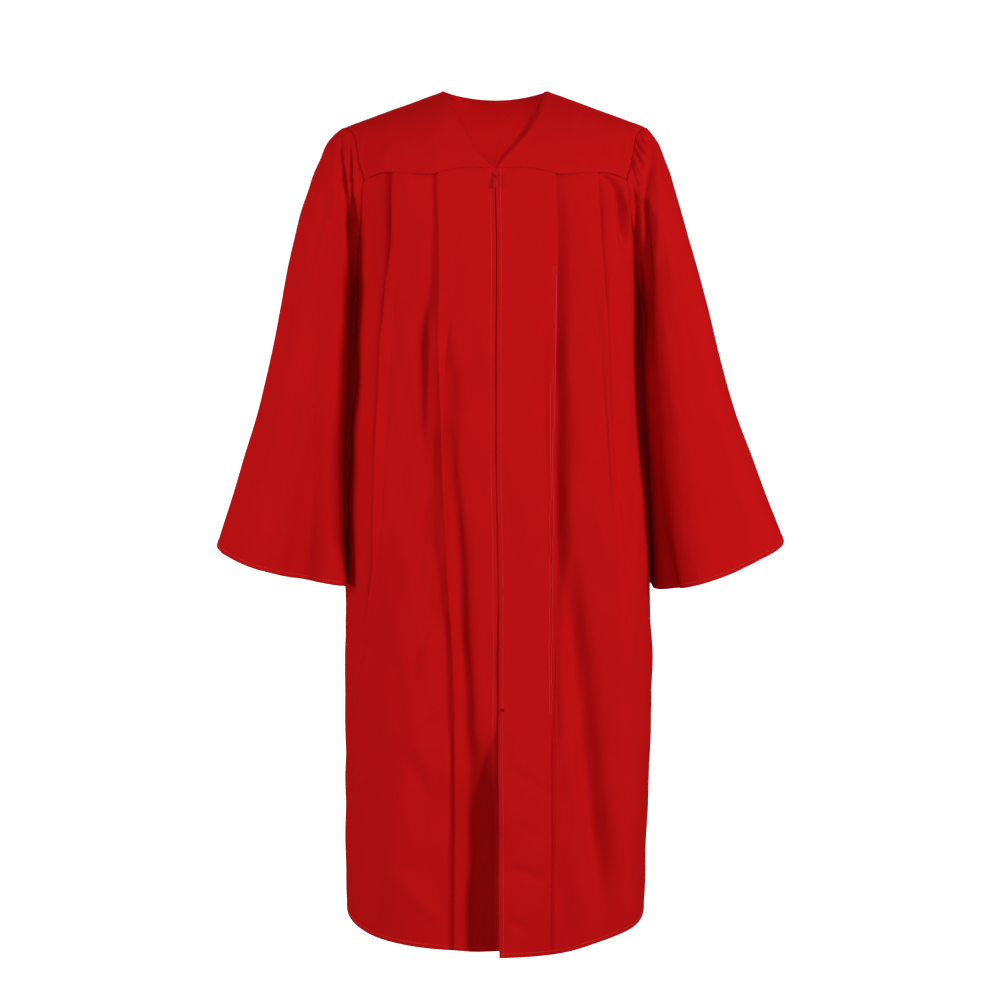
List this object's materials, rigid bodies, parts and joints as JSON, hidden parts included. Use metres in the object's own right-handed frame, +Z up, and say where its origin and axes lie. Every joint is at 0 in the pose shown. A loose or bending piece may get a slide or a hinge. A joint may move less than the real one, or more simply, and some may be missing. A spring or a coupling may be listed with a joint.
{
  "type": "graduation gown",
  "caption": "Long zip-front graduation gown, hollow as worn, with a V neck, front and back yokes, knife pleats, an open front slit and wide bell sleeves.",
  "frame": {"origin": "midway between the two points where the shoulder seams meet the neck, where the gown rests on a wearer or hanger", "axes": "+Z up along the wearer's spine, the front faces -Y, the wearer's left is +X"},
  "size_m": [0.8794, 0.379, 1.2929],
  "materials": {
    "front_yoke_right": "matte polyester, a slight sheen",
    "front_yoke_left": "matte polyester, a slight sheen",
    "back_yoke": "matte polyester, a slight sheen",
    "front_panel_right": "matte polyester, a slight sheen",
    "front_panel_left": "matte polyester, a slight sheen",
    "back_panel": "matte polyester, a slight sheen",
    "sleeve_right": "matte polyester, a slight sheen",
    "sleeve_left": "matte polyester, a slight sheen",
    "zip_tape": "woven tape dyed to match",
    "zip_slider": "satin enamel dyed to match",
    "zip_pull": "satin enamel dyed to match"
  },
  "bodies": {
    "gown": {"front_yoke_right": "front_yoke_right", "front_yoke_left": "front_yoke_left", "back_yoke": "back_yoke", "front_panel_right": "front_panel_right", "front_panel_left": "front_panel_left", "back_panel": "back_panel", "sleeve_right": "sleeve_right", "sleeve_left": "sleeve_left", "zip_tape": "zip_tape", "zip_slider": "zip_slider"},
    "pull_tab": {"zip_pull": "zip_pull"}
  },
  "joints": [
    {"name": "pull_hinge", "type": "hinge", "parent": "gown", "child": "pull_tab", "pos_m": [0, -0.12019, -0.12394], "axis": [-1, 0, 0], "range_deg": [0, 150]}
  ]
}
